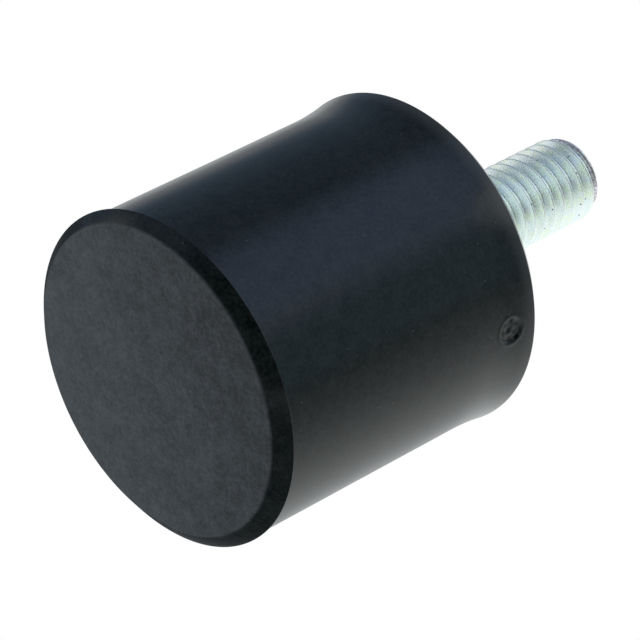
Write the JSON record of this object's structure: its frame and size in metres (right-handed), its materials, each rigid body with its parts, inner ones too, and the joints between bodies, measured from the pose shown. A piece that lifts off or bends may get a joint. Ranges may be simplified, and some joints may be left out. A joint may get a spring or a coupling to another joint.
{
  "type": "rubber foot with threaded stud",
  "caption": "Round black rubber foot with a steel plate bonded into one end and a threaded stud standing out of it.",
  "frame": {"origin": "centre of the free rubber face, on which the foot stands", "axes": "+Z along the axis from the free face towards the stud's tip; +X and +Y are across the body, with the round mould mark at -52 degrees from +X"},
  "size_m": [0.0304, 0.0304, 0.05],
  "materials": {
    "rubber": "matt moulded black rubber with a faint satin sheen",
    "zinc_plate": "blue-white zinc plating on a pressed disc",
    "zinc_stud": "blue-white zinc plating with a faint yellow tint on a rolled thread"
  },
  "bodies": {
    "root": {"rubber_body": "rubber", "mounting_plate": "zinc_plate", "threaded_stud": "zinc_stud"}
  },
  "joints": []
}
